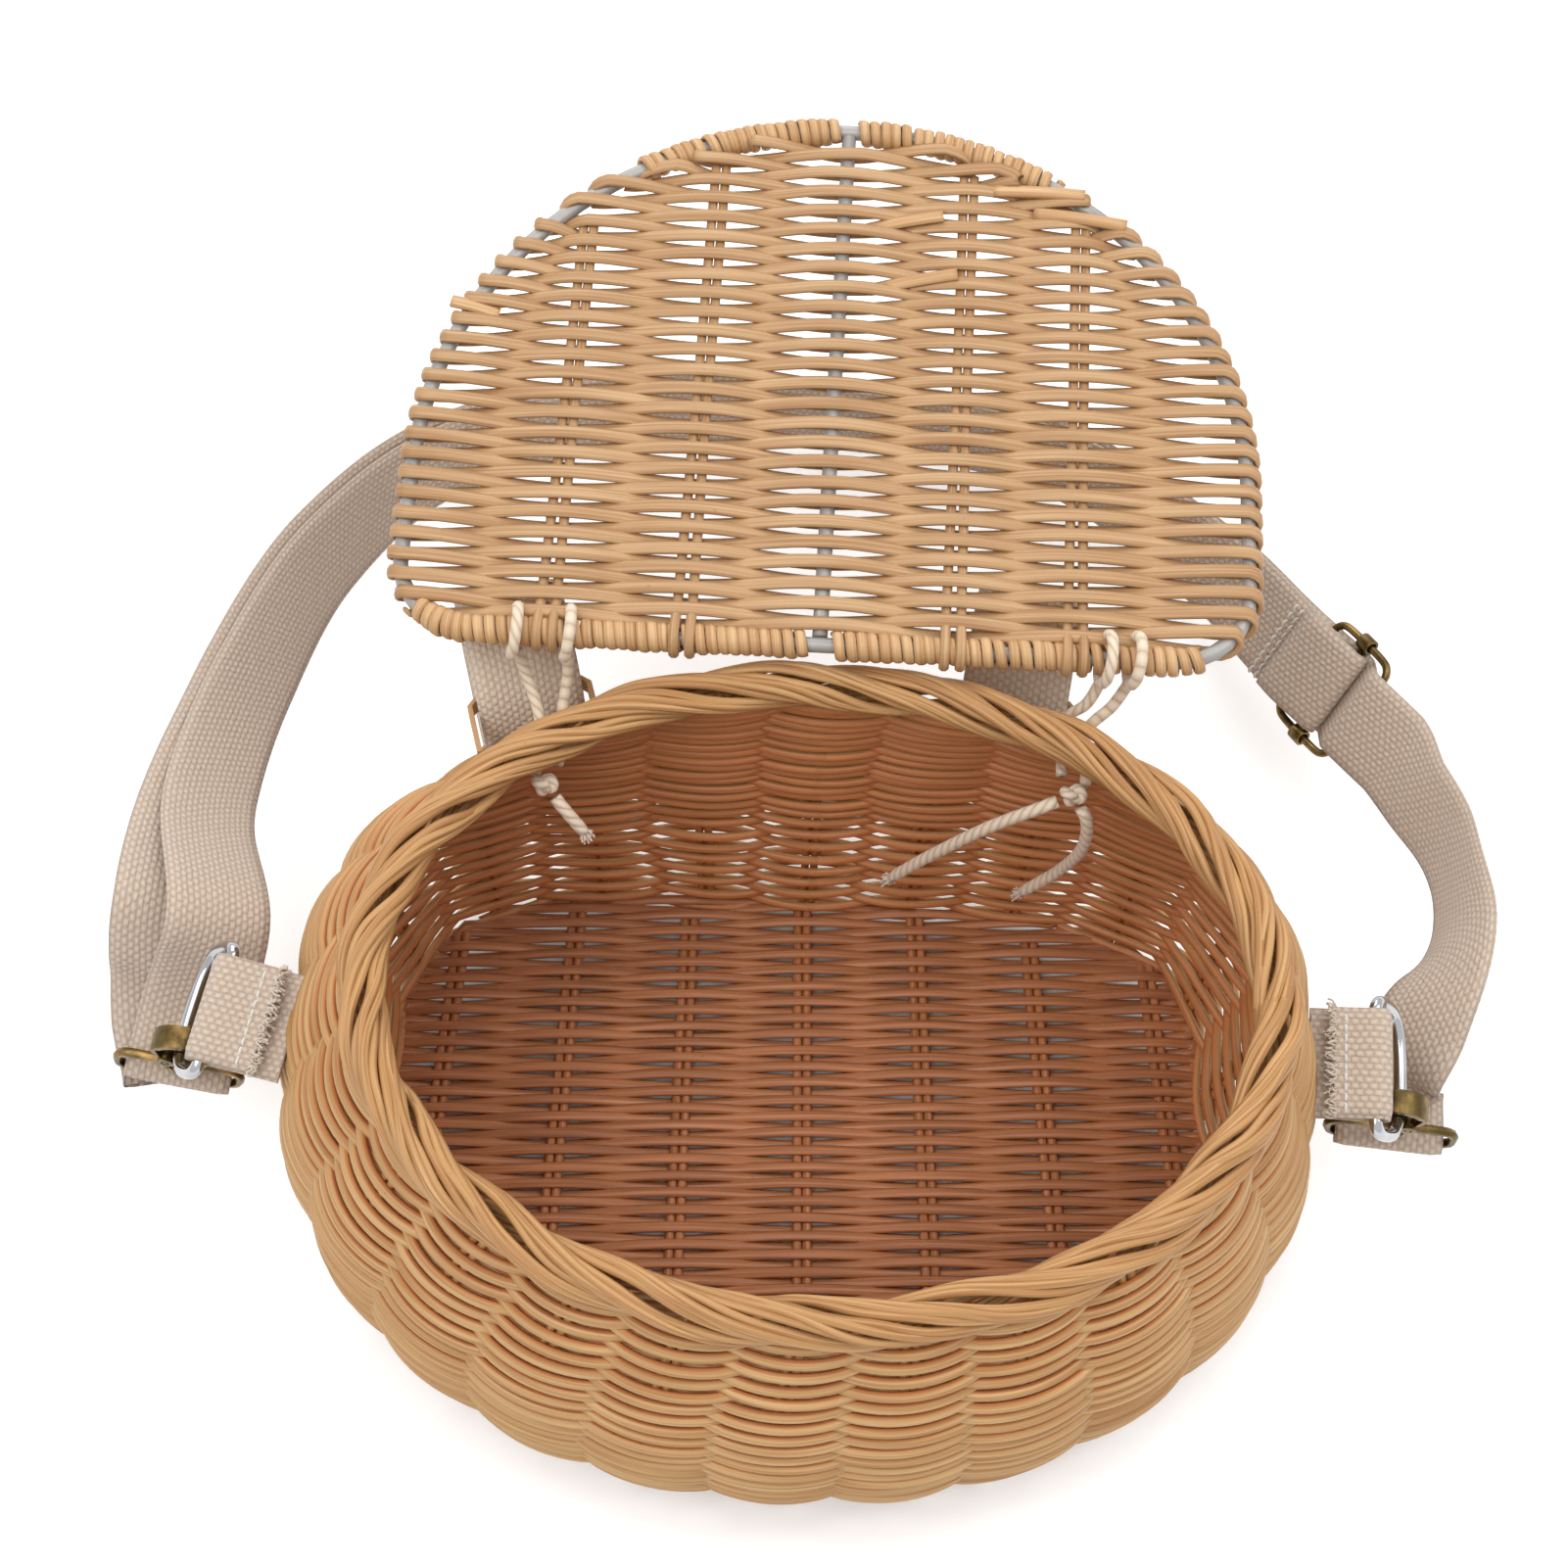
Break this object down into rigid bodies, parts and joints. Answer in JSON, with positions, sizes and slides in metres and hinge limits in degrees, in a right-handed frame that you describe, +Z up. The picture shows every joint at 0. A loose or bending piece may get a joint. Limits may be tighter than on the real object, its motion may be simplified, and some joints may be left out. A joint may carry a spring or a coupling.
{
  "type": "bicycle basket",
  "caption": "Small lidded wicker bicycle basket with a corded lid that lies back, webbing handlebar straps on its back wall and a clip-on adjustable carrying strap.",
  "frame": {"origin": "On the underside of the base panel, under the middle of the base", "axes": "+Z up, +Y towards the hinged back wall with the handlebar straps, +X to the viewer's right when the open front faces them"},
  "size_m": [0.3319, 0.3264, 0.1377],
  "materials": {
    "wicker": "bundled rattan strands, pale honey outside and browner inside",
    "cane": "clear varnished rattan cane",
    "frame_wire": "dull grey coated steel wire",
    "cord": "twisted natural cotton cord",
    "webbing": "natural cotton webbing with dark flecks",
    "fastener_pile": "pale lavender grey hook-and-loop pile",
    "bright_ring": "bright plated wire",
    "antique_brass": "darkened antique brass"
  },
  "bodies": {
    "basket": {"basket_wall": "wicker", "rim_braid": "wicker", "base_panel": "wicker", "base_stake_pair_1": "cane", "base_stake_pair_2": "cane", "base_stake_pair_3": "cane", "base_stake_pair_4": "cane", "base_stake_pair_5": "cane", "base_stake_pair_6": "cane", "base_stake_pair_7": "cane", "left_hinge_strand_1": "cord", "left_hinge_strand_2": "cord", "right_hinge_strand_1": "cord", "right_hinge_strand_2": "cord", "left_knot": "cord", "right_knot": "cord", "left_cord_stub": "cord", "right_long_tail": "cord", "right_short_tail": "cord", "left_bar_strap": "webbing", "right_bar_strap": "webbing", "left_hook_and_loop": "fastener_pile", "right_hook_and_loop": "fastener_pile", "left_upper_binder": "cane", "left_lower_binder": "cane", "right_upper_binder": "cane", "right_lower_binder": "cane", "left_tab": "webbing", "right_tab": "webbing", "left_bail": "antique_brass", "right_bail": "antique_brass", "carrying_strap": "webbing", "slider_frame": "antique_brass", "slider_bar": "antique_brass"},
    "lid": {"lid_frame_wire": "frame_wire", "lid_spine_wire": "frame_wire", "lid_stake_pair_1": "cane", "lid_stake_pair_2": "cane", "lid_stake_pair_3": "cane", "lid_stake_pair_4": "cane", "lid_weaver": "cane", "left_hinge_lashing": "cane", "right_hinge_lashing": "cane", "left_front_lashing": "cane", "right_front_lashing": "cane", "left_hinge_loop_1": "cord", "left_hinge_loop_2": "cord", "right_hinge_loop_1": "cord", "right_hinge_loop_2": "cord"},
    "left_ring_body": {"left_ring": "bright_ring"},
    "right_ring_body": {"right_ring": "bright_ring"},
    "left_hook_body": {"left_hook": "antique_brass", "left_gate_pin": "antique_brass"},
    "right_hook_body": {"right_hook": "antique_brass", "right_gate_pin": "antique_brass"},
    "left_gate_body": {"left_gate": "antique_brass"},
    "right_gate_body": {"right_gate": "antique_brass"}
  },
  "joints": [
    {"name": "lid_hinge", "type": "hinge", "parent": "basket", "child": "lid", "pos_m": [-0.004, 0.0865, 0.12155], "axis": [1, 0, 0], "range_deg": [0, 175]},
    {"name": "left_ring_hinge", "type": "hinge", "parent": "basket", "child": "left_ring_body", "pos_m": [-0.13684, 0.00964, 0.076], "axis": [0.2008, 0.9448, 0.2588], "range_deg": [-4, 1]},
    {"name": "right_ring_hinge", "type": "hinge", "parent": "basket", "child": "right_ring_body", "pos_m": [0.12546, 0.011, 0.076], "axis": [0, -0.9659, -0.2588], "range_deg": [-4, 1]},
    {"name": "left_hook_swivel", "type": "hinge", "parent": "basket", "child": "left_hook_body", "pos_m": [-0.14745, 0.00715, 0.05969], "axis": [-0.2381, 0.0744, -0.9684], "range_deg": [-8, 8]},
    {"name": "right_hook_swivel", "type": "hinge", "parent": "basket", "child": "right_hook_body", "pos_m": [0.13365, 0.0078, 0.05883], "axis": [0.0792, 0.087, -0.9931], "range_deg": [-8, 8]},
    {"name": "left_gate_hinge", "type": "hinge", "parent": "left_hook_body", "child": "left_gate_body", "pos_m": [-0.15174, 0.00767, 0.05524], "axis": [0.0563, 0.9964, 0.0627], "range_deg": [0, 25], "stiffness_Nm_per_rad": 0.01, "springref_deg": -17.19},
    {"name": "right_gate_hinge", "type": "hinge", "parent": "right_hook_body", "child": "right_gate_body", "pos_m": [0.13715, 0.00793, 0.05371], "axis": [-0.1028, -0.9902, -0.095], "range_deg": [0, 25], "stiffness_Nm_per_rad": 0.01, "springref_deg": -17.19}
  ]
}
